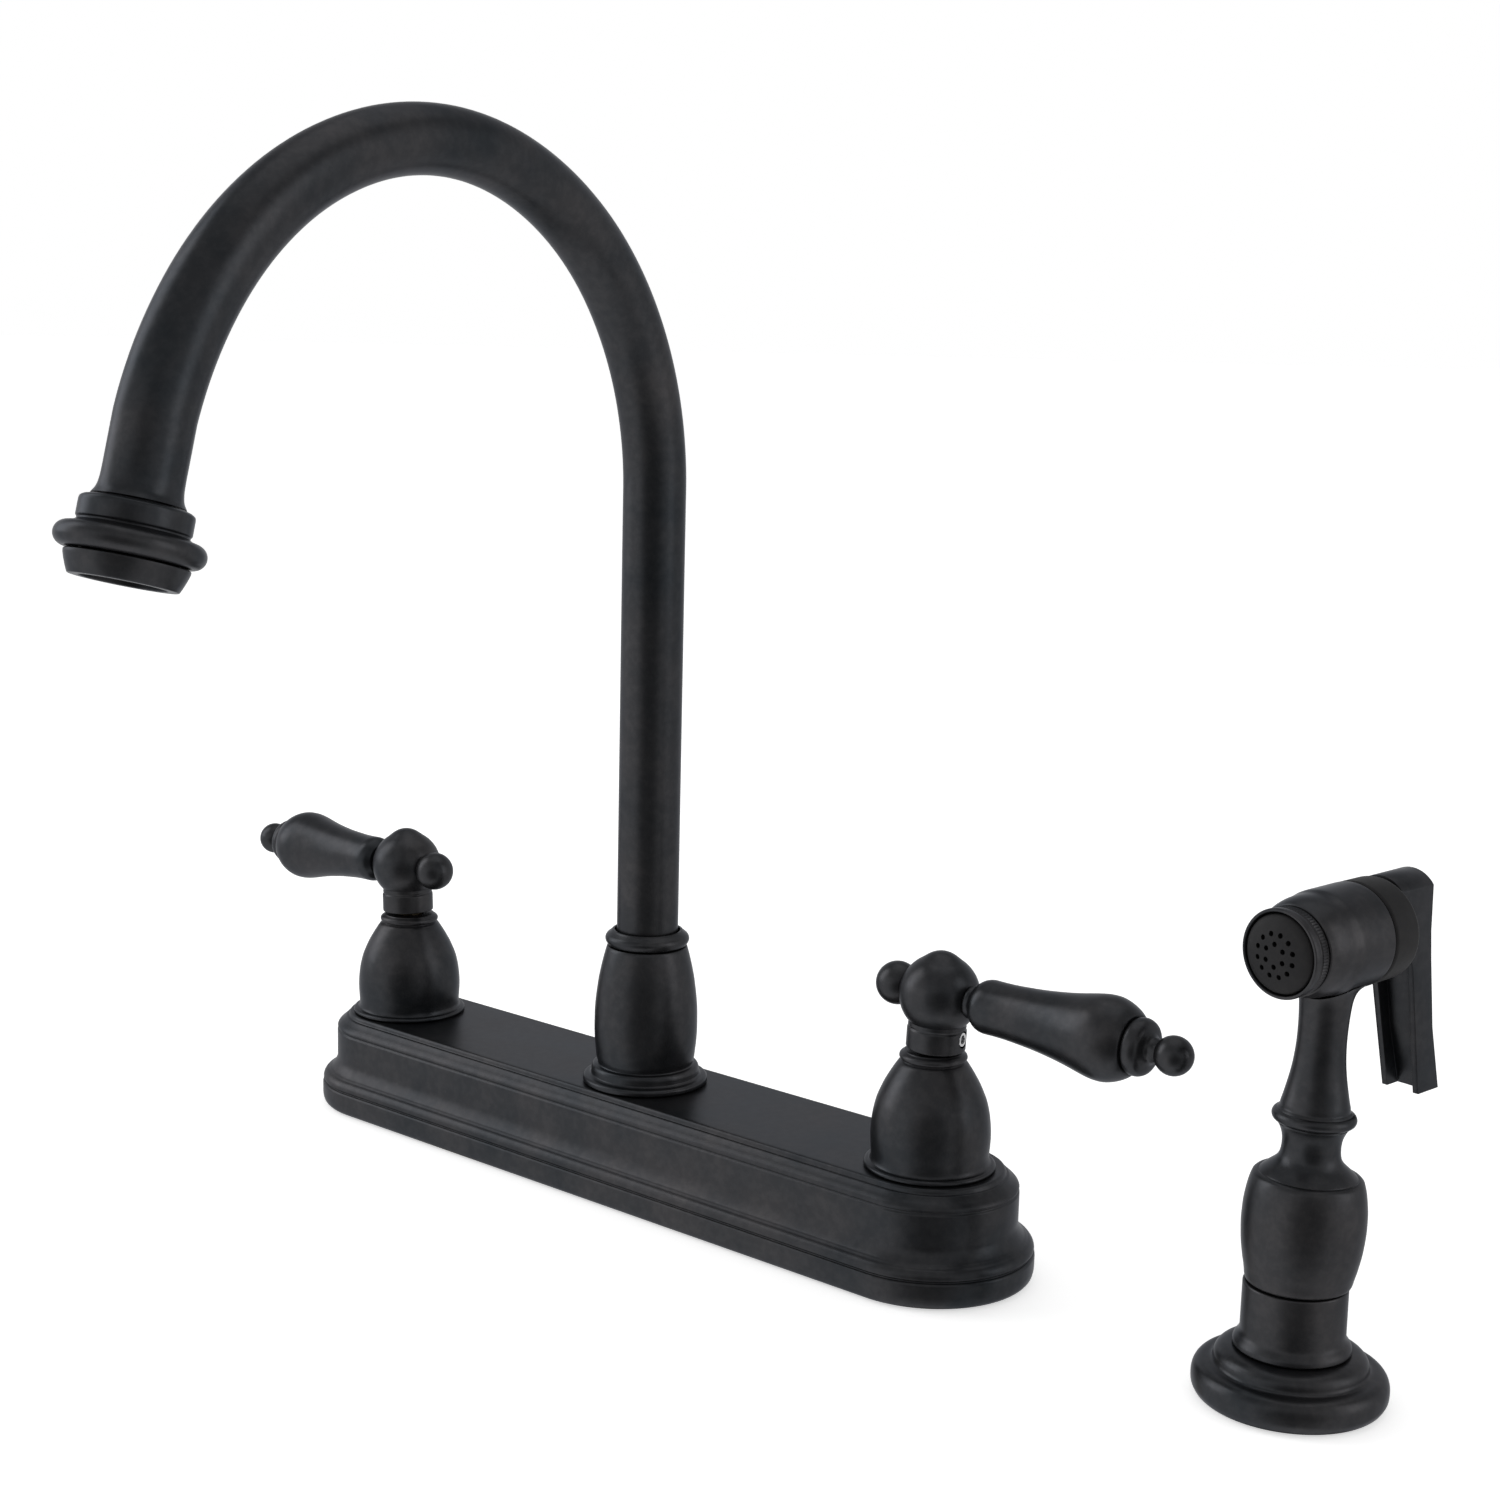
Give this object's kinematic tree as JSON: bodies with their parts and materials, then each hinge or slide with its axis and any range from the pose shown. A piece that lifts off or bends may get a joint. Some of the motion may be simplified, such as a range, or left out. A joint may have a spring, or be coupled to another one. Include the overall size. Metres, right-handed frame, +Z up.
{
  "type": "kitchen faucet",
  "caption": "Deck kitchen faucet on a long base plate, with a swivelling gooseneck spout, baluster lever handles on domed bells, and a separate side sprayer with a trigger.",
  "frame": {"origin": "on the deck plane, under the axis of the spout's column", "axes": "+X along the base plate to the right handle and the sprayer, +Y to the back of the sink, away from the spout's mouth, +Z up"},
  "size_m": [0.4082, 0.2343, 0.3434],
  "materials": {
    "oil_rubbed_bronze": "oil-rubbed bronze plating, satin",
    "bronze_matte": "darkened bronze, matte",
    "cast_brass": "raw cast and turned brass",
    "stainless": "bright stainless steel",
    "seal_rubber": "moulded nitrile",
    "foam_gasket": "closed-cell sealing foam",
    "moulded_plastic": "moulded engineering plastic",
    "screen_plastic": "moulded dark grey plastic"
  },
  "bodies": {
    "base": {"base_cover": "oil_rubbed_bronze", "base_gasket": "foam_gasket", "waterway_body": "cast_brass", "spout_post": "oil_rubbed_bronze", "spout_ring": "oil_rubbed_bronze", "sprayer_outlet_nipple": "cast_brass", "sprayer_flange": "oil_rubbed_bronze", "sprayer_holder": "oil_rubbed_bronze", "sprayer_washer": "stainless", "sprayer_nut": "moulded_plastic", "supply_shank_left": "cast_brass", "shank_washer_left": "stainless", "shank_nut_left": "moulded_plastic", "cartridge_left": "moulded_plastic", "cartridge_nut_left": "cast_brass", "bell_left": "oil_rubbed_bronze", "supply_shank_right": "cast_brass", "shank_washer_right": "stainless", "shank_nut_right": "moulded_plastic", "cartridge_right": "moulded_plastic", "cartridge_nut_right": "cast_brass", "bell_right": "oil_rubbed_bronze"},
    "spout": {"spout_tube": "oil_rubbed_bronze", "swivel_adapter": "cast_brass", "swivel_seal_lower": "seal_rubber", "swivel_seal_upper": "seal_rubber", "swivel_washer": "moulded_plastic", "nozzle_collar": "oil_rubbed_bronze", "aerator_housing": "oil_rubbed_bronze", "aerator_insert": "screen_plastic", "aerator_gasket": "seal_rubber"},
    "handle_left": {"handle_hub_left": "oil_rubbed_bronze", "set_screw_left": "stainless", "handle_finial_left": "oil_rubbed_bronze", "handle_neck_ring_left": "oil_rubbed_bronze", "handle_grip_left": "oil_rubbed_bronze", "handle_tip_left": "oil_rubbed_bronze", "valve_stem_left": "cast_brass"},
    "handle_right": {"handle_hub_right": "oil_rubbed_bronze", "set_screw_right": "stainless", "handle_finial_right": "oil_rubbed_bronze", "handle_neck_ring_right": "oil_rubbed_bronze", "handle_grip_right": "oil_rubbed_bronze", "handle_tip_right": "oil_rubbed_bronze", "valve_stem_right": "cast_brass"},
    "diverter": {"diverter_poppet": "moulded_plastic"},
    "sprayer": {"wand_body": "oil_rubbed_bronze", "wand_hose_connector": "cast_brass", "wand_head": "oil_rubbed_bronze", "face_ring": "oil_rubbed_bronze", "spray_face": "bronze_matte", "head_rear_cap": "bronze_matte", "trigger_pin": "stainless", "plunger_spring": "stainless"},
    "trigger": {"trigger": "oil_rubbed_bronze"},
    "plunger": {"spray_plunger": "cast_brass"}
  },
  "joints": [
    {"name": "spout_swing", "type": "hinge", "parent": "base", "child": "spout", "pos_m": [0, 0, 0.06], "axis": [0, 0, 1], "continuous": true},
    {"name": "handle_left_turn", "type": "hinge", "parent": "base", "child": "handle_left", "pos_m": [-0.1016, 0, 0.0751], "axis": [0, 0, 1], "range_deg": [0, 90]},
    {"name": "handle_right_turn", "type": "hinge", "parent": "base", "child": "handle_right", "pos_m": [0.1016, 0, 0.0751], "axis": [0, 0, 1], "range_deg": [-90, 0]},
    {"name": "diverter_lift", "type": "slide", "parent": "base", "child": "diverter", "axis": [0, 0, 1], "range_m": [0, 0.0025]},
    {"name": "sprayer_lift", "type": "slide", "parent": "base", "child": "sprayer", "axis": [0.0246, 0.0212, 0.9995], "range_m": [0, 0.12]},
    {"name": "trigger_squeeze", "type": "hinge", "parent": "sprayer", "child": "trigger", "pos_m": [0.21382, 0.02306, 0.11644], "axis": [-0.9871, 0.1602, 0], "range_deg": [0, 12], "stiffness_Nm_per_rad": 0.3, "springref_deg": -5.73},
    {"name": "plunger_push", "type": "slide", "parent": "sprayer", "child": "plunger", "axis": [-0.1601, -0.9866, -0.033], "range_m": [0, 0.0014], "deforming": ["plunger_spring"]}
  ],
  "couplings": [
    {"joint": "plunger_push", "follows": "trigger_squeeze", "m_per_rad": 0.0065},
    {"joint": "diverter_lift", "follows": "trigger_squeeze", "m_per_rad": 0.0119}
  ]
}
